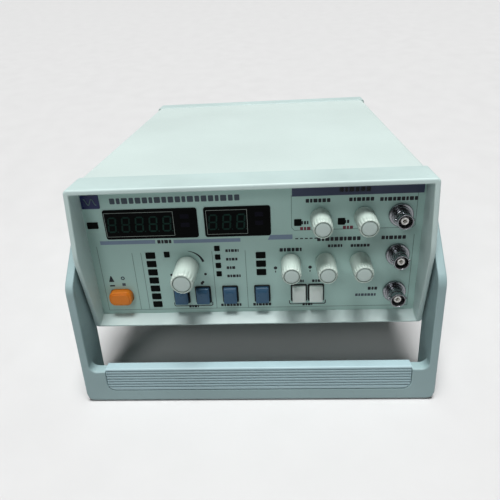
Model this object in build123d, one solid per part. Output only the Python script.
from build123d import *

import os
from math import acos, atan2, cos, degrees, hypot, radians, sin, tan

# Bench frequency counter and signal generator, standing on its swung-down handle.
# Everything is drawn level first: x to the right, y to the back, z up, millimetres,
# with z = 0 at the underside of the case and y = 0 at the top front edge. The
# finished parts are then tipped nose-up until the handle and rear feet share a floor.

# ---------------------------------------------------------------- case
case_width = 220.0
case_height = 100.0
case_depth = 286.0
corner_radius = 2.5

front_frame_depth = 25.0
nose_reach = 6.5            # the side rails swell forward of the top edge by this
nose_height = 56.0
lip_setback = 4.4           # the bottom front edge lies behind the top one
rear_frame_depth = 18.0
rear_frame_start = case_depth - rear_frame_depth
rear_panel_y = (278.2, 280.0)
frame_wall = 2.5

cover_inset = 1.5           # covers stand back from the frames by this
cover_sheet = 1.0
cover_half_width = case_width / 2 - cover_inset
cover_top = case_height - 0.5
cover_bottom = 0.5
seam_height = 50.0
seam_gap = 0.2
fit_gap = 0.1               # gap between parts that are pushed or laid together

# ---------------------------------------------------------------- front panel
panel_y = 12.0              # front face of the panel
panel_sheet = 2.0
panel_back = panel_y + panel_sheet
throat_half_width = 105.6   # visible opening of the front frame, at the panel
throat_bottom = 5.5
throat_top = 96.3
board_y = 24.0              # front face of the circuit board behind the panel
board_sheet = 1.6

window_height = 20.0
window_mid_height = 72.2
frequency_window = (-63.1, 59.6)        # middle, width
amplitude_window = (-8.2, 41.4)
window_lift = 0.4
digit_size = (8.3, 13.4)
digit_pitch = 8.8
frequency_digit_start = -87.9
amplitude_digit_start = -23.6

range_lamps = (-66.5, 49.8, 7)          # x, top z, count
lamp_pitch = 6.2
range_lamp_size = (6.2, 4.4)
mode_lamps = (-22.5, 53.8, 4)
mode_lamp_size = (3.4, 3.6)
wave_lamps = (5.4, 48.2, 3)
single_lamps = (
    (-100.6, 72.1, 7.0, 4.4),
    (-55.6, 50.3, 3.6, 4.0),
    (29.4, 70.2, 4.4, 4.4),
    (56.3, 70.2, 4.4, 4.4),
)

button_row = 19.6
button_cap = (8.8, 11.0)
button_lift = 4.2
button_travel = 2.2
button_skirt = button_travel + 1.2      # cap wall behind the panel face, so no gap opens
button_places = {
    "range_down": -49.0,
    "range_up": -34.4,
    "function": -16.0,
    "waveform": 5.4,
    "attenuator_20": 29.8,
    "attenuator_40": 41.0,
}
power_place = (-90.3, 19.6)
power_cap = (15.4, 10.4)
power_lift = 5.0
power_travel = 3.5
power_flange = power_travel + 0.5       # depth of the flange that stops the cap from coming out

knob_length = 20.0
tuning_knob_length = 24.0
knob_base_radius = 6.4
cap_share = 0.7             # radius of the knob's cap, as a share of the knob's
tuning_knob_radius = 7.6
shaft_radius = 3.0
running_gap = 0.05
knob_places = {
    "tuning": (-42.8, 41.4),
    "offset": (24.7, 42.8),
    "sweep_width": (43.3, 73.4),
    "sweep_rate": (70.0, 73.4),
    "symmetry": (46.8, 42.8),
    "amplitude": (68.6, 42.8),
}

socket_x = 92.0
socket_radius = 4.8         # outside of the coaxial barrel, which a plug's sleeve slides over
socket_length = 13.0
socket_collar = 2.3         # plain stretch of the barrel in front of its lugs
socket_neck_radius = 4.4    # behind the collar, where the lugs stand
socket_flange_radius = 7.4
socket_places = {
    "sweep_input": 73.8,
    "sync_output": 46.8,
    "signal_output": 19.8,
}
badge_place = (-99.3, 88.0, 11.4, 8.8)

# ---------------------------------------------------------------- handle
pivot_y = 36.0
pivot_z = 62.0
handle_lean = 3.5           # the legs lean back from the grip by this many degrees
handle_half_width = 116.8
arm_thickness = 5.3
arm_inner = handle_half_width - arm_thickness
strap_width = 25.0
hub_radius = 17.0
hub_y = 47.0                # hub from the front corner of the grip, along the grip
hub_z = 111.8               # and square to it
kink_z = 87.1
rear_kink_z = 77.1
grip_wall = 6.5
grip_wall_height = 24.0
grip_corner_radius = 5.0
outer_corner_radius = 7.0
sleeve_half_width = 100.7
sleeve_bottom = 9.7
sleeve_top = 26.5
sleeve_sheet = 2.4
sleeve_depth = 8.4
rib_count = 7
rib_pitch = 2.08

journal_radius = 6.0
pivot_body_radius = 8.0
hub_cap_radius = 12.6
hub_recess = 2.4
journal_end = handle_half_width - hub_recess + fit_gap

# ---------------------------------------------------------------- feet and inside
foot_height = 10.0
foot_radius = 9.0
foot_x = 86.0
foot_rows = (62.0, 248.0)

tray_sheet = 1.2
tray_bottom = cover_bottom + cover_sheet + fit_gap
tray_top = tray_bottom + tray_sheet
tray_half_width = 105.8
tray_range = (50.0, 264.0)
tray_wall_top = 60.0

rail_sheet = 1.5
rail_outer = cover_half_width - cover_sheet - fit_gap
rail_heights = (32.0, 74.0)
screw_radius = 1.5
screw_gap = 0.05
side_screw_rows = (42.0, 58.0)
frame_screw_y = (19.0, 274.0)
cover_screw_y = (70.0, 230.0)

main_board = ((-28.0, 98.0), (60.0, 254.0))
main_board_z = 10.0
spacer_places = [(x, y) for x in (-22.0, 92.0) for y in (67.0, 156.0, 246.0)]
lamination = 9.5            # transformer: half the width of the middle leg
transformer_place = (-64.0, 222.0)
transformer_stack = 28.0
inlet_place = (-62.0, 66.0)
inlet_flange = (50.0, 31.0)
inlet_body = (28.0, 24.0)


# ---------------------------------------------------------------- helpers
def block(x, y, z):
    """A box from its (low, high) along each axis."""
    size = [high - low for low, high in (x, y, z)]
    middle = [(high + low) / 2 for low, high in (x, y, z)]
    return Pos(*middle) * Box(*size)


def plate(x, z, width, height, y, radius=0.0):
    """A plate square to y, with rounded corners, centred on x and z."""
    shape = RectangleRounded(width, height, radius) if radius else Rectangle(width, height)
    face = Plane.XZ.offset(-y[0]) * (Pos(x, z) * shape)
    return extrude(face, y[1] - y[0], dir=(0, 1, 0))


def rod_x(y, z, radius, x):
    return Pos((x[0] + x[1]) / 2, y, z) * (Rot(0, 90, 0) * Cylinder(radius, x[1] - x[0]))


def rod_z(x, y, radius, z):
    return Pos(x, y, (z[0] + z[1]) / 2) * Cylinder(radius, z[1] - z[0])


def rod(radius, z):
    """A rod along the local z axis."""
    return rod_z(0, 0, radius, z)


def on_panel(x, z):
    """Local z points out of the panel's front face at this place, and local y up."""
    return Pos(x, panel_y, z) * Rot(90, 0, 0)


def both_sides(part):
    return [part, mirror(part, Plane.YZ)]


def group(solids):
    return Compound(children=list(solids))


def cut_all(part, tools):
    for tool in tools:
        part = part - tool
    return part


def nearest_vertex(shape, u, v):
    return min(shape.vertices(), key=lambda vertex: hypot(vertex.X - u, vertex.Y - v))


def tangent_point(centre, radius, outside, side):
    """Where a line from a point outside touches a circle, on one side or the other."""
    toward = atan2(outside[1] - centre[1], outside[0] - centre[0])
    distance = hypot(outside[0] - centre[0], outside[1] - centre[1])
    angle = toward + side * acos(radius / distance)
    return (centre[0] + radius * cos(angle), centre[1] + radius * sin(angle))


# ---------------------------------------------------------------- stance
def grip_corner():
    """The front bottom corner of the grip, from the pivot and the lean."""
    lean = radians(handle_lean)
    y = pivot_y - hub_y * cos(lean) - hub_z * sin(lean)
    z = pivot_z + hub_y * sin(lean) - hub_z * cos(lean)
    return (y, z)


def stance_tilt():
    """Degrees nose-up that lay the grip and the rear feet on one floor."""
    corner = grip_corner()
    rise = -foot_height - corner[1]
    run = foot_rows[1] + foot_radius - corner[0]
    return degrees(atan2(rise, run))


# ---------------------------------------------------------------- screws through the sides
def countersunk(y, z, face_x, gap):
    """A countersunk screw along x, its head flush with the face at face_x."""
    shank = rod_x(y, z, screw_radius + gap, (face_x - 6.0, face_x))
    head = Pos(face_x - 0.75, y, z) * (Rot(0, 90, 0) * Cone(screw_radius + gap, 2.9 + gap, 1.5))
    return shank + head


def side_screws(gap):
    """All screws through the right side; with a gap they are the holes for them."""
    frame_screws = [
        countersunk(y, z, case_width / 2, gap) for y in frame_screw_y for z in side_screw_rows
    ]
    cover_screws = [
        countersunk(y, z, cover_half_width, gap) for y in cover_screw_y for z in side_screw_rows
    ]
    return frame_screws + cover_screws


def side_screw_holes():
    holes = []
    for hole in side_screws(screw_gap):
        holes += both_sides(hole)
    return holes


# ---------------------------------------------------------------- frames and covers
def front_frame():
    """The moulded frame round the panel, its side rails swelling forward to a nose."""
    outline = Polygon(
        (0, case_height),
        (-nose_reach, nose_height),
        (lip_setback, 0),
        (front_frame_depth, 0),
        (front_frame_depth, case_height),
        align=None,
    )
    shell = extrude(Plane.YZ * outline, case_width / 2, both=True)
    long_edges = shell.edges().filter_by(Axis.Y)
    shell = fillet(long_edges, corner_radius)
    mouth_y = -nose_reach - 2.0
    sill_slope = 0.566
    draft = 1.4
    mouth_bottom = throat_bottom - sill_slope * (panel_y - mouth_y)
    mouth_top = throat_top + 0.6
    mouth = Plane.XZ.offset(-mouth_y) * (
        Pos(0, (mouth_top + mouth_bottom) / 2)
        * Rectangle(2 * (throat_half_width + draft), mouth_top - mouth_bottom)
    )
    throat = Plane.XZ.offset(-panel_y) * (
        Pos(0, (throat_top + throat_bottom) / 2)
        * Rectangle(2 * throat_half_width, throat_top - throat_bottom)
    )
    shell = shell - loft([mouth, throat])
    inner_width = case_width - 2 * frame_wall
    inner_height = case_height - 2 * frame_wall
    pocket = plate(
        0, case_height / 2, inner_width, inner_height, (panel_y, front_frame_depth + 1), 1.0
    )
    return cut_all(shell - pocket, side_screw_holes())


def rear_frame():
    """The frame round the rear panel, plain and square."""
    shell = block(
        (-case_width / 2, case_width / 2), (rear_frame_start, case_depth), (0, case_height)
    )
    shell = fillet(shell.edges().filter_by(Axis.Y), corner_radius)
    inner_width = case_width - 2 * frame_wall
    inner_height = case_height - 2 * frame_wall
    pocket = plate(
        0, case_height / 2, inner_width, inner_height, (rear_frame_start - 1, rear_panel_y[1]), 1.0
    )
    opening = plate(
        0, case_height / 2, inner_width - 6, inner_height - 6, (rear_panel_y[1] - 1, case_depth + 1), 2.0
    )
    return cut_all(shell - pocket - opening, side_screw_holes())


def cover_shell(low, high):
    """One sheet-metal half of the cover, closed across its outer face only."""
    y = (front_frame_depth + fit_gap, rear_frame_start - fit_gap)
    outer = block((-cover_half_width, cover_half_width), y, (cover_bottom, cover_top))
    outer = fillet(outer.edges().filter_by(Axis.Y), 3.0)
    inner = block(
        (-cover_half_width + cover_sheet, cover_half_width - cover_sheet),
        (y[0] - 1, y[1] + 1),
        (cover_bottom + cover_sheet, cover_top - cover_sheet),
    )
    inner = fillet(inner.edges().filter_by(Axis.Y), 2.0)
    keep = block((-case_width, case_width), (y[0] - 5, y[1] + 5), (low, high))
    return cut_all((outer - inner) & keep, side_screw_holes())


def top_cover():
    shell = cover_shell(seam_height + seam_gap / 2, case_height + 1)
    return cut_all(shell, both_sides(rod_x(pivot_y, pivot_z, pivot_body_radius + 0.3, (100, 112))))


def bottom_cover():
    """The lower half, with vent slots in its floor and sides and holes for the feet."""
    shell = cover_shell(-1, seam_height - seam_gap / 2)
    slot_pitch = 8.0
    slots = []
    for index in range(9):
        y = 170 + slot_pitch * index
        side_slot = block((100, 112), (y, y + 3), (9, 27))
        slots += both_sides(fillet(side_slot.edges().filter_by(Axis.X), 1.4))
    for index in range(12):
        y = 100 + slot_pitch * index
        floor_slot = block((14, 54), (y, y + 3), (-2, 3))
        slots += both_sides(fillet(floor_slot.edges().filter_by(Axis.Z), 1.4))
    holes = [rod_z(x, y, 2.2, (-2, 3)) for x, y in foot_places()]
    return cut_all(shell, slots + holes)


def foot_places():
    return [(x, y) for x in (-foot_x, foot_x) for y in foot_rows]


def rubber_feet():
    """Tapered feet, each with a recess for its screw."""
    feet = []
    for x, y in foot_places():
        body = Pos(x, y, (cover_bottom - foot_height) / 2) * Cone(
            foot_radius, foot_radius + 1.0, foot_height + cover_bottom
        )
        recess = rod_z(x, y, 4.4, (-foot_height - 1, -foot_height + 5.5))
        hole = rod_z(x, y, 2.1, (-foot_height, 2))
        feet.append(body - recess - hole)
    return group(feet)


def foot_screws():
    screws = []
    for x, y in foot_places():
        head = rod_z(x, y, 3.8, (-foot_height + 3.0, -foot_height + 5.4))
        shank = rod_z(x, y, 2.0, (-foot_height + 5.4, 6.0))
        screws.append(head + shank)
    return screws


def side_rail():
    """A steel strip that ties the two frames together and carries one handle pivot."""
    rail = block(
        (rail_outer - rail_sheet, rail_outer),
        (panel_back + fit_gap, rear_panel_y[0] - fit_gap),
        rail_heights,
    )
    rail = rail - rod_x(pivot_y, pivot_z, pivot_body_radius + running_gap, (100, 110))
    return cut_all(rail, side_screws(screw_gap))


def chassis_tray():
    """The folded steel tray that carries the boards and the transformer."""
    width = (-tray_half_width, tray_half_width)
    tray = block(width, tray_range, (tray_bottom, tray_wall_top))
    inside = block(
        (width[0] + tray_sheet, width[1] - tray_sheet),
        (tray_range[0] - 1, tray_range[1] + 1),
        (tray_top, tray_wall_top + 1),
    )
    windows = []
    for y in (95.0, 135.0, 175.0):
        window = block((90, 112), (y, y + 26), (18, 44))
        windows += both_sides(window)
    holes = [rod_z(x, y, 2.1, (0, 5)) for x, y in foot_places()]
    holes += [rod_z(x, y, screw_radius + screw_gap, (0, 5)) for x, y in spacer_places]
    return cut_all(tray - inside, windows + holes + side_screw_holes())


# ---------------------------------------------------------------- panel and what it carries
def lamp_places():
    """Every lamp window on the panel as x, z, width, height."""
    places = [tuple(place) for place in single_lamps]
    columns = (
        (range_lamps, range_lamp_size),
        (mode_lamps, mode_lamp_size),
        (wave_lamps, range_lamp_size),
    )
    for (x, top, count), (width, height) in columns:
        for index in range(count):
            places.append((x, top - lamp_pitch * index, width, height))
    return places


def front_panel():
    """The flat panel sheet with a cut-out for each part that comes through it."""
    through = (panel_y - 1, panel_back + 1)
    sheet = plate(
        0,
        case_height / 2,
        case_width - 2 * frame_wall - 0.4,
        case_height - 2 * frame_wall - 0.4,
        (panel_y + 0.02, panel_back),
        1.0,
    )
    cuts = [
        plate(x, window_mid_height, width + 0.2, window_height + 0.2, through, 1.6)
        for x, width in (frequency_window, amplitude_window)
    ]
    cuts += [plate(x, z, width + 0.1, height + 0.1, through) for x, z, width, height in lamp_places()]
    cuts += [
        plate(x, button_row, button_cap[0] + 1.9, button_cap[1] + 1.9, through, 1.0)
        for x in button_places.values()
    ]
    cuts.append(plate(*power_place, power_cap[0] + 0.6, power_cap[1] + 0.6, through, 4.3))
    cuts += [on_panel(x, z) * rod(3.7, (-4, 1)) for x, z in knob_places.values()]
    cuts += [on_panel(socket_x, z) * rod(4.6, (-4, 1)) for z in socket_places.values()]
    return cut_all(sheet, cuts)


def display_window(place):
    x, width = place
    return plate(
        x, window_mid_height, width, window_height, (panel_y - window_lift, panel_back), 1.5
    )


def digit_modules():
    """Seven-segment digits, five for the frequency and three for the amplitude."""
    digits = []
    for start, count in ((frequency_digit_start, 5), (amplitude_digit_start, 3)):
        for index in range(count):
            x = start + digit_pitch * index
            digits.append(
                plate(x, window_mid_height, *digit_size, (panel_back + 1.2, board_y - fit_gap))
            )
    return digits


def panel_lamps():
    y = (panel_y - 0.25, board_y - fit_gap)
    return [plate(x, z, width, height, y) for x, z, width, height in lamp_places()]


def corner_badge():
    x, z, width, height = badge_place
    return plate(x, z, width, height, (panel_y - 0.5, panel_y + 0.02), 0.6)


def button_surrounds():
    """Black frames pressed into the panel round the six small buttons."""
    frames = []
    for x in button_places.values():
        outer = plate(
            x,
            button_row,
            button_cap[0] + 1.8,
            button_cap[1] + 1.8,
            (panel_y - 0.6, panel_back),
            1.0,
        )
        opening = plate(
            x,
            button_row,
            button_cap[0] + 0.5,
            button_cap[1] + 0.5,
            (panel_y - 1, panel_back + 1),
            0.9,
        )
        frames.append(outer - opening)
    return frames


def push_button(x):
    """A square cap with a flange behind the panel and a stem into its switch."""
    cap = Pos(0, 0, (button_lift - button_skirt) / 2) * Box(
        *button_cap, button_lift + button_skirt
    )
    cap = fillet(cap.edges().filter_by(Axis.Z), 0.7)
    cap = fillet(cap.faces().sort_by(Axis.Z)[-1].edges(), 0.5)
    flange = Pos(0, 0, 0.4 - button_skirt) * Box(button_cap[0] + 1.2, button_cap[1] + 1.2, 0.8)
    return on_panel(x, button_row) * (cap + flange + rod(1.4, (-8.4, -3.2)))


def button_switches():
    switches = []
    for x in button_places.values():
        body = Pos(0, 0, -9.45) * Box(8.0, 8.0, 4.9)
        switches.append(on_panel(x, button_row) * (body - rod(1.7, (-11.2, -6))))
    return switches


def power_button():
    """The rounded power push button with its square stem."""
    cap = extrude(RectangleRounded(*power_cap, 4.0), power_lift)
    cap = fillet(cap.faces().sort_by(Axis.Z)[-1].edges(), 1.5)
    skirt = extrude(RectangleRounded(*power_cap, 4.0), -3.0)
    flange = extrude(RectangleRounded(power_cap[0] + 2, power_cap[1] + 2, 4.5), 1.2)
    flange = Pos(0, 0, -power_flange) * flange
    stem = Pos(0, 0, -9.0) * Box(5.0, 5.0, 10.4)
    return on_panel(*power_place) * (cap + skirt + flange + stem)


def power_switch():
    body = Pos(0, 0, -24.0) * Box(13.0, 13.0, 32.0)
    way = Pos(0, 0, -13.0) * Box(5.4, 5.4, 11.0)
    switch = body - way
    for x in (-3.5, 3.5):
        switch = switch + Pos(x, 0, -42.5) * Box(0.8, 5.0, 5.0)
    bracket = Pos(0, -10.2, -40.0) * Box(11.0, 13.4, 1.5)
    return on_panel(*power_place) * (switch - bracket)


def knob(length, radius):
    """A tapered knob with a rounded nose, hollow behind for the bushing."""
    nose = 1.4
    tip = radius - 0.3
    outline = Polyline((0, 0.6), (radius, 0.6), (tip, length - nose))
    rounding = RadiusArc((tip, length - nose), (tip - nose, length), -nose)
    closing = Polyline((tip - nose, length), (0, length), (0, 0.6))
    body = revolve(Plane.XZ * make_face(outline + rounding + closing), Axis.Z)
    flutes = 20
    for index in range(flutes):
        angle = 360.0 / flutes * index
        groove = Pos(radius + 0.45, 0, length / 2) * Cylinder(0.75, length - 6.0)
        body = body - Rot(0, 0, angle) * groove
    cap = cap_share * radius
    ring = rod(cap + 0.5, (length - 0.4, length + 1)) - rod(cap, (length - 1, length + 2))
    socket = shaft(length, 0.02) & rod(shaft_radius + 1, (3, length - 3.4))
    return body - ring - rod(4.6, (0, 3.2)) - socket


def shaft(length, gap=0.0):
    """A control shaft with a flat along its outer half."""
    body = rod(shaft_radius + gap, (-8.8, length - 3.5 + gap))
    flat = Pos(0, shaft_radius + 0.4 + gap, length / 2 + 3.2) * Box(10, 2.2, length)
    return body - flat


def knob_size(name):
    if name == "tuning":
        return (tuning_knob_length, tuning_knob_radius)
    return (knob_length, knob_base_radius)


def control_bodies():
    """Rotary controls between panel and board, with bushings through the panel."""
    bodies = []
    for x, z in knob_places.values():
        can = Pos(0, 0, -7.0) * Box(11.0, 11.0, 9.8)
        can = fillet(can.edges().filter_by(Axis.Z), 1.0)
        bushing = rod(3.6, (-2.2, 2.2))
        bore = rod(shaft_radius + running_gap, (-9.0, 3))
        bodies.append(on_panel(x, z) * (can + bushing - bore))
    return bodies


def socket_body(z):
    """A bayonet coaxial socket: flange, barrel with two lugs, and threaded tail."""
    flange = rod(socket_flange_radius, (0, 2.0)) + rod(5.8, (2.0, 3.2))
    collar_start = socket_length - socket_collar
    neck = rod(socket_neck_radius, (8.4, collar_start))
    collar = rod(socket_radius, (collar_start, socket_length))
    barrel = flange + rod(socket_radius, (3.0, 8.4)) + neck + collar + rod(4.5, (-8.0, 0.1))
    lugs = Pos(0, 0, 9.5) * (Rot(0, 90, 0) * Cylinder(1.0, 11.8))
    hollow = rod(3.9, (4.0, socket_length + 1)) + rod(2.4, (-9.0, 5.0))
    return on_panel(socket_x, z) * (barrel + lugs - hollow)


def socket_insulators():
    parts = []
    for z in socket_places.values():
        body = rod(3.85, (4.02, 5.0)) + rod(2.35, (-8.0, 11.4))
        parts.append(on_panel(socket_x, z) * (body - rod(0.95, (-9, 12))))
    return parts


def socket_contacts():
    parts = []
    for z in socket_places.values():
        pin = rod(0.9, (-11.5, 11.0)) - rod(0.5, (5.0, 12.0))
        parts.append(on_panel(socket_x, z) * pin)
    return parts


def panel_nuts():
    """Hexagon nuts that clamp the coaxial sockets from behind."""
    nuts = []
    for z in socket_places.values():
        nut = extrude(RegularPolygon(7.0, 6), 2.6) - rod(4.55, (-1, 4))
        nuts.append(on_panel(socket_x, z) * (Pos(0, 0, -4.7) * nut))
    return nuts


def front_board():
    """The board behind the panel; it stops short of the power switch."""
    return block((-80.0, 101.0), (board_y, board_y + board_sheet), (7.0, 94.0))


def panel_posts():
    posts = []
    for x, z in ((-76.0, 11.0), (-76.0, 89.0), (98.0, 9.5), (98.0, 88.5)):
        posts.append(on_panel(x, z) * (Pos(0, 0, -11.9) * extrude(RegularPolygon(2.6, 6), 9.8)))
    return posts


# ---------------------------------------------------------------- rear
def rear_panel():
    """The rear sheet with its inlet opening and a row of tall vent slots."""
    sheet = plate(
        0,
        case_height / 2,
        case_width - 2 * frame_wall - 0.4,
        case_height - 2 * frame_wall - 0.4,
        (rear_panel_y[0], rear_panel_y[1] - 0.02),
        1.0,
    )
    through = (rear_panel_y[0] - 1, rear_panel_y[1] + 1)
    cuts = [plate(*inlet_place, inlet_body[0] + 0.4, inlet_body[1] + 0.4, through, 1.0)]
    for index in range(12):
        cuts.append(plate(8 + 7.0 * index, case_height / 2, 3.0, 46.0, through, 1.45))
    for x in (-20, 20):
        cuts.append(plate(inlet_place[0] + x, inlet_place[1], 3.1, 3.1, through, 1.5))
    return cut_all(sheet, cuts)


def mains_inlet():
    """A three-pin appliance inlet with a keyed mouth and a fuse pocket under it."""
    x, z = inlet_place
    flange = plate(x, z, *inlet_flange, (rear_panel_y[1], rear_panel_y[1] + 2.8), 3.0)
    body = plate(x, z, *inlet_body, (rear_panel_y[1] - 24, rear_panel_y[1] + 1), 1.0)
    mouth = plate(x, z + 2.6, 24.6, 16.0, (rear_panel_y[1] - 15, rear_panel_y[1] + 4), 3.0)
    fuse_pocket = plate(x, z - 9.0, 17.2, 4.4, (rear_panel_y[1] - 18, rear_panel_y[1] + 4))
    screws = [
        plate(x + side, z, 3.1, 3.1, (rear_panel_y[1] - 1, rear_panel_y[1] + 4), 1.5)
        for side in (-20, 20)
    ]
    blade_holes = [
        plate(x + side, z + rise, 4.1, 2.1, (rear_panel_y[1] - 25, rear_panel_y[1] - 14))
        for side, rise in blade_places()
    ]
    return cut_all(flange + body, [mouth, fuse_pocket] + screws + blade_holes)


def blade_places():
    """The earth blade is in the middle and stands a little higher."""
    return ((-7.0, 0.6), (0.0, 4.6), (7.0, 0.6))


def inlet_blades():
    x, z = inlet_place
    y = (rear_panel_y[1] - 30, rear_panel_y[1] + 0.5)
    return [plate(x + side, z + rise, 4.0, 2.0, y) for side, rise in blade_places()]


def fuse_drawer():
    x, z = inlet_place
    drawer = plate(x, z - 9.0, 16.9, 4.1, (rear_panel_y[1] - 17.8, rear_panel_y[1] + 3.2))
    return drawer - plate(x, z - 9.0, 6.0, 1.2, (rear_panel_y[1] + 2.0, rear_panel_y[1] + 4))


def inlet_screws():
    x, z = inlet_place
    screws = []
    for side in (-20, 20):
        head = Pos(x + side, rear_panel_y[1] + 3.6, z) * (Rot(90, 0, 0) * Cylinder(2.8, 1.6))
        shank = Pos(x + side, rear_panel_y[1] - 0.6, z) * (Rot(90, 0, 0) * Cylinder(1.5, 6.8))
        screws.append(head + shank)
    return screws


# ---------------------------------------------------------------- electronics
def power_board():
    """The main circuit board."""
    board = block(*main_board, (main_board_z, main_board_z + board_sheet))
    return cut_all(board, [rod_z(x, y, 1.6, (5, 15)) for x, y in spacer_places])


def board_spacers():
    return [
        rod_z(x, y, 3.0, (tray_top, main_board_z)) - rod_z(x, y, 1.6, (0, 15))
        for x, y in spacer_places
    ]


def board_screws():
    top = main_board_z + board_sheet
    return [
        rod_z(x, y, 2.8, (top, top + 2.0)) + rod_z(x, y, screw_radius, (tray_bottom, top))
        for x, y in spacer_places
    ]


def transformer_core():
    """Stacked laminations with two windows either side of the middle leg."""
    x, y = transformer_place
    half = 3 * lamination
    depth = (y - transformer_stack / 2, y + transformer_stack / 2)
    core = block((x - half, x + half), depth, (tray_top, tray_top + 5 * lamination))
    for side in (-1, 1):
        middle = x + side * 1.5 * lamination
        core = core - block(
            (middle - lamination / 2, middle + lamination / 2),
            (depth[0] - 1, depth[1] + 1),
            (tray_top + lamination, tray_top + 4 * lamination),
        )
    return core


def transformer_winding():
    """The wound bobbin round the middle leg, filling the windows."""
    x, y = transformer_place
    half = 2 * lamination - 0.3
    reach = transformer_stack / 2 + lamination - 1
    low = tray_top + lamination + 0.3
    high = tray_top + 4 * lamination - 0.3
    outer = block((x - half, x + half), (y - reach, y + reach), (low, high))
    outer = fillet(outer.edges().filter_by(Axis.Z), 3.0)
    leg = block(
        (x - lamination - 0.2, x + lamination + 0.2),
        (y - transformer_stack / 2 - 0.2, y + transformer_stack / 2 + 0.2),
        (low - 1, high + 1),
    )
    return outer - leg


def transformer_clamp():
    """A steel strap over the core with a foot each side."""
    x, y = transformer_place
    half = 3 * lamination + 0.1
    top = tray_top + 5 * lamination + 0.1
    depth = (y - 9, y + 9)
    strap = block((x - half - 1.2, x + half + 1.2), depth, (tray_top, top + 1.2))
    strap = strap - block((x - half, x + half), (y - 20, y + 20), (0, top))
    feet = block((x - half - 8.5, x + half + 8.5), depth, (tray_top, tray_top + 1.2))
    return strap + (feet - block((x - half, x + half), (y - 20, y + 20), (0, top)))


def heatsink():
    """A finned block at the back of the main board."""
    base = main_board_z + board_sheet
    sink = block((20, 92), (236, 239), (base, base + 45))
    for index in range(9):
        x = 21 + 8.5 * index
        sink = sink + block((x, x + 2), (239, 250), (base + 4, base + 45))
    return cut_all(sink, [rod_z(92, 246, 3.4, (base - 1, base + 4))])


def regulators():
    base = main_board_z + board_sheet
    parts = []
    for x in (30.0, 50.0, 70.0):
        tab = block((x, x + 10), (234.5, 235.9), (base + 8, base + 24))
        body = block((x, x + 10), (231.5, 234.6), (base + 8, base + 17))
        legs = block((x + 4, x + 6), (232.5, 233.2), (base, base + 8.1))
        parts.append(tab + body + legs)
    return parts


def capacitors():
    base = main_board_z + board_sheet
    places = (
        (0, 228, 8, 26),
        (0, 208, 8, 26),
        (20, 208, 6.4, 21),
        (38, 208, 6.4, 21),
        (56, 208, 5, 14),
        (70, 208, 5, 14),
        (84, 208, 5, 14),
    )
    return [rod_z(x, y, radius, (base, base + height)) for x, y, radius, height in places]


def signal_chips():
    """Dual in-line packages, the larger counter and generator chips in front."""
    base = main_board_z + board_sheet
    places = [(12, 104, 40, 14), (60, 104, 36, 14)]
    places += [(x, y, 20, 8) for x in (-2, 26, 54, 80) for y in (134, 182)]
    return [
        block((x - length / 2, x + length / 2), (y - width / 2, y + width / 2), (base, base + 4.5))
        for x, y, length, width in places
    ]


def crystal_oscillator():
    """The sealed reference oscillator can."""
    base = main_board_z + board_sheet
    can = block((76, 92), (84, 94), (base + 0.4, base + 6.5))
    return fillet(can.edges().filter_by(Axis.Z), 2.0)


def board_headers():
    base = main_board_z + board_sheet
    lower = block((30, 66), (64, 72), (base, base + 8))
    upper = block((30, 66), (board_y + board_sheet, board_y + board_sheet + 8), (30, 38))
    return [lower, upper]


def ribbon_cable():
    """A flat cable that drops from the front board to the main board."""
    base = main_board_z + board_sheet
    start = (board_y + board_sheet + 8, 34.0)
    end = (68.0, base + 8)
    path = FilletPolyline(start, (46.0, 34.0), (46.0, 30.0), (68.0, 30.0), end, radius=1.8)
    strip = Plane.YZ * trace(path, 1.0)
    return extrude(strip, 15, both=True).moved(Pos(48, 0, 0))


def mains_lead():
    """The insulated pair from the inlet along the left wall to the power switch."""
    x, z = inlet_place
    route = [
        (x - 7, rear_panel_y[1] - 30.1, z + 3.2),
        (x - 7, 240.0, z + 3.2),
        (-96.0, 205.0, 62.0),
        (-96.0, 150.0, 45.0),
        (-96.0, 100.0, 30.0),
        (power_place[0], 75.0, power_place[1]),
        (power_place[0], panel_y + 45.2, power_place[1]),
    ]
    path = FilletPolyline(*route, radius=8.0)
    start = Plane(origin=path @ 0, z_dir=path % 0)
    return sweep(start * Circle(2.4), path)


# ---------------------------------------------------------------- handle
def handle_place():
    """From the handle's own axes, its grip corner at zero, to the case's axes."""
    return Pos(0, pivot_y, pivot_z) * Rot(-handle_lean, 0, 0) * Pos(0, -hub_y, -hub_z)


def floor_slope():
    """Slope of the floor in the handle's own axes, in degrees."""
    return stance_tilt() + handle_lean


def arm_profile():
    """Side view of an arm: the grip leg, the kink, and the hub."""
    hub = (hub_y, hub_z)
    front_kink = (0, kink_z)
    rear_kink = (strap_width, rear_kink_z)
    rear_foot = (strap_width, strap_width * tan(radians(floor_slope())))
    outline = Polygon(
        (0, 0),
        front_kink,
        tangent_point(hub, hub_radius, front_kink, -1),
        hub,
        tangent_point(hub, hub_radius, rear_kink, 1),
        rear_kink,
        rear_foot,
        align=None,
    )
    profile = outline + Pos(*hub) * Circle(hub_radius)
    profile = fillet(nearest_vertex(profile, *front_kink), 12.0)
    profile = fillet(nearest_vertex(profile, *rear_kink), 16.0)
    profile = fillet(nearest_vertex(profile, 0, 0), 2.0)
    return fillet(nearest_vertex(profile, *rear_foot), 2.0)


def bow(bottom, inner_radius, depth):
    """A U across the case: two arms and a crossbar this thick, swept back by depth."""
    top = hub_z + hub_radius + 5
    outer = Pos(0, top / 2) * Rectangle(2 * handle_half_width, top)
    outer = fillet(outer.vertices().group_by(Axis.Y)[0], outer_corner_radius)
    inside = Pos(0, bottom + top / 2) * Rectangle(2 * arm_inner, top)
    inside = fillet(inside.vertices().group_by(Axis.Y)[0], inner_radius)
    slope = radians(floor_slope())
    face = Plane.XZ * (outer - inside)
    return extrude(face, depth / cos(slope), dir=(0, cos(slope), sin(slope)))


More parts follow.
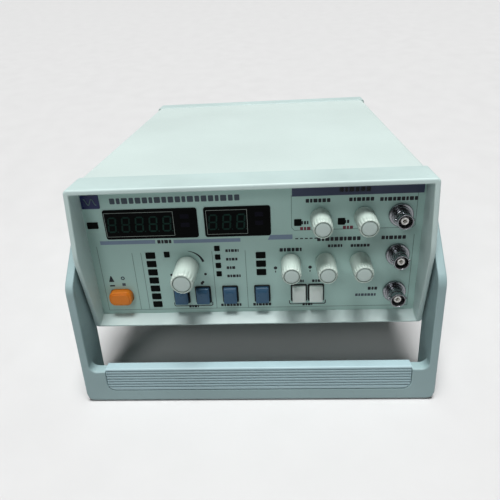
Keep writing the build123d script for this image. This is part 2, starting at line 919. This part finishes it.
def handle_bail():
    """The moulded handle: two cranked arms, a strap across and an upstanding grip wall."""
    body = bow(arm_thickness, 3.0, hub_y + hub_radius + 1)
    wall = bow(grip_wall_height, grip_corner_radius, 60.0)
    wall = wall & block((-200, 200), (-1, grip_wall), (-20, hub_z + hub_radius))
    side = extrude(Plane.YZ * arm_profile(), handle_half_width + 1, both=True)
    body = (body + wall) & side
    body = body - sleeve_seat()
    cuts = []
    for cut in (
        rod_x(hub_y, hub_z, journal_radius + running_gap, (100, 120)),
        rod_x(hub_y, hub_z, hub_cap_radius + 0.4, (handle_half_width - hub_recess, 120)),
    ):
        cuts += both_sides(cut)
    return handle_place() * cut_all(body, cuts)


def sleeve_front(gap):
    """Front outline of the grip sleeve, its lower corners rounded."""
    width = 2 * (sleeve_half_width + gap)
    low = sleeve_bottom - gap
    outline = Pos(0, (low + 40) / 2) * Rectangle(width, 40 - low)
    return fillet(outline.vertices().group_by(Axis.Y)[0], 5.0 + gap)


def sleeve_seat():
    """What is cut from the grip wall so that the sleeve sits over it."""
    seat = extrude(Plane.XZ * sleeve_front(0.4), sleeve_sheet + 0.1, dir=(0, 1, 0))
    over_top = block(
        (-sleeve_half_width - 0.4, sleeve_half_width + 0.4),
        (-1, grip_wall + 5),
        (sleeve_top - sleeve_sheet - fit_gap, sleeve_top + 10),
    )
    return seat + over_top


def grip_sleeve():
    """The ribbed grip sleeve, hooked over the grip wall."""
    section = Polygon(
        (0, 0),
        (sleeve_sheet, 0),
        (sleeve_sheet, sleeve_top - sleeve_sheet),
        (grip_wall + fit_gap, sleeve_top - sleeve_sheet),
        (grip_wall + fit_gap, sleeve_bottom + 6),
        (sleeve_depth, sleeve_bottom + 6),
        (sleeve_depth, sleeve_top),
        (0, sleeve_top),
        align=None,
    )
    section = fillet(nearest_vertex(section, 0, sleeve_top), 1.2)
    section = fillet(nearest_vertex(section, sleeve_depth, sleeve_top), 1.5)
    body = extrude(Plane.YZ * section, sleeve_half_width, both=True)
    body = body & extrude(Plane.XZ * sleeve_front(0.0), 20, dir=(0, 1, 0))
    for index in range(rib_count):
        z = sleeve_bottom + 2.0 + rib_pitch * index
        body = body - block((-120, 120), (-1, 0.6), (z, z + 0.9))
    return handle_place() * body


def handle_pivot():
    """A shouldered pivot: flange inside the rail, body through the case, journal outside."""
    flange = rod_x(pivot_y, pivot_z, 9.5, (rail_outer - rail_sheet - 2.0, rail_outer - rail_sheet))
    body = rod_x(pivot_y, pivot_z, pivot_body_radius, (rail_outer - rail_sheet - 1, cover_half_width + 0.2))
    journal = rod_x(pivot_y, pivot_z, journal_radius, (cover_half_width, journal_end))
    thread = rod_x(pivot_y, pivot_z, 1.65, (rail_outer - 1, journal_end + 1))
    return flange + body + journal - thread


def hub_cap():
    """A round cap in the hub recess, screwed to the pivot, which holds the handle on."""
    cap = rod_x(pivot_y, pivot_z, hub_cap_radius, (journal_end, handle_half_width))
    rim = cap.faces().sort_by(Axis.X)[-1].edges()
    cap = fillet(rim, 0.8)
    cap = cap - rod_x(pivot_y, pivot_z, 1.7, (100, 120))
    return cap - rod_x(pivot_y, pivot_z, 3.5, (handle_half_width - 1.5, 120))


def hub_screws():
    head = rod_x(pivot_y, pivot_z, 3.3, (handle_half_width - 1.5, handle_half_width - 0.1))
    shank = rod_x(pivot_y, pivot_z, 1.6, (rail_outer, handle_half_width - 1.4))
    slot = block((handle_half_width - 0.7, 120), (pivot_y - 0.4, pivot_y + 0.4), (50, 80))
    return both_sides(head + shank - slot)


def friction_washer():
    ring = rod_x(pivot_y, pivot_z, 10.4, (cover_half_width + 0.25, arm_inner - fit_gap))
    return ring - rod_x(pivot_y, pivot_z, journal_radius + 0.2, (100, 120))


def case_screws():
    screws = []
    for screw in side_screws(0.0):
        screws += both_sides(screw)
    return group(screws)


# ---------------------------------------------------------------- everything, by name
def case_parts():
    """Frames, covers, feet and the steel inside that holds them together."""
    return {
        "front_frame": front_frame(),
        "rear_frame": rear_frame(),
        "rear_panel": rear_panel(),
        "top_cover": top_cover(),
        "bottom_cover": bottom_cover(),
        "side_rails": group(both_sides(side_rail())),
        "chassis_tray": chassis_tray(),
        "rubber_feet": rubber_feet(),
        "case_screws": case_screws(),
        "machine_screws": group(foot_screws() + board_screws() + inlet_screws() + hub_screws()),
    }


def panel_parts():
    """The panel, what shows through it, and what sits between it and its board."""
    windows = [display_window(frequency_window), display_window(amplitude_window)]
    return {
        "front_panel": front_panel(),
        "display_windows": group(windows),
        "digit_modules": group(digit_modules()),
        "panel_lamps": group(panel_lamps()),
        "corner_badge": corner_badge(),
        "button_surrounds": group(button_surrounds()),
        "button_switches": group(button_switches()),
        "power_switch": power_switch(),
        "control_bodies": group(control_bodies()),
        "coaxial_sockets": group(socket_body(z) for z in socket_places.values()),
        "socket_insulators": group(socket_insulators()),
        "contact_pins": group(socket_contacts() + inlet_blades()),
        "front_board": front_board(),
        "posts_and_nuts": group(panel_posts() + panel_nuts() + board_spacers()),
    }


def inner_parts():
    """Power inlet, transformer, boards and wiring."""
    return {
        "mains_inlet": mains_inlet(),
        "fuse_drawer": fuse_drawer(),
        "mains_lead": mains_lead(),
        "power_board": power_board(),
        "transformer_core": transformer_core(),
        "transformer_winding": transformer_winding(),
        "transformer_clamp": transformer_clamp(),
        "heatsink": heatsink(),
        "chips_and_regulators": group(signal_chips() + regulators()),
        "capacitors_and_crystal": group(capacitors() + [crystal_oscillator()]),
        "board_headers": group(board_headers()),
        "ribbon_cable": ribbon_cable(),
    }


def handle_parts():
    return {
        "handle_bail": handle_bail(),
        "grip_sleeve": grip_sleeve(),
        "handle_pivots": group(both_sides(handle_pivot())),
        "hub_caps": group(both_sides(hub_cap())),
        "friction_washers": group(both_sides(friction_washer())),
    }


def control_parts():
    """Every knob with its shaft, and every push button."""
    parts = {"power_button": power_button()}
    for name, x in button_places.items():
        parts[f"button_{name}"] = push_button(x)
    for name, (x, z) in knob_places.items():
        length, radius = knob_size(name)
        parts[f"knob_{name}"] = on_panel(x, z) * knob(length, radius)
        parts[f"shaft_{name}"] = on_panel(x, z) * shaft(length)
    return parts


def stance(parts):
    """The move that tips the level model nose-up and centres its box over the origin."""
    tilt = Rot(-stance_tilt(), 0, 0)
    outer_names = ("front_frame", "rear_frame", "rubber_feet", "handle_bail", "hub_caps")
    boxes = [(tilt * parts[name]).bounding_box() for name in outer_names]
    low_y = min(box.min.Y for box in boxes)
    high_y = max(box.max.Y for box in boxes)
    low_z = min(box.min.Z for box in boxes)
    return Pos(0, -(low_y + high_y) / 2, -low_z) * tilt


if __name__ == "__main__":
    os.makedirs("parts", exist_ok=True)
    parts = case_parts() | panel_parts() | inner_parts() | handle_parts() | control_parts()
    move = stance(parts)
    print(len(parts), "nodes, tilt", stance_tilt(), "shift", move.position.Y, move.position.Z)
    for name, shape in parts.items():
        export_step(move * shape, f"parts/{name}.step")
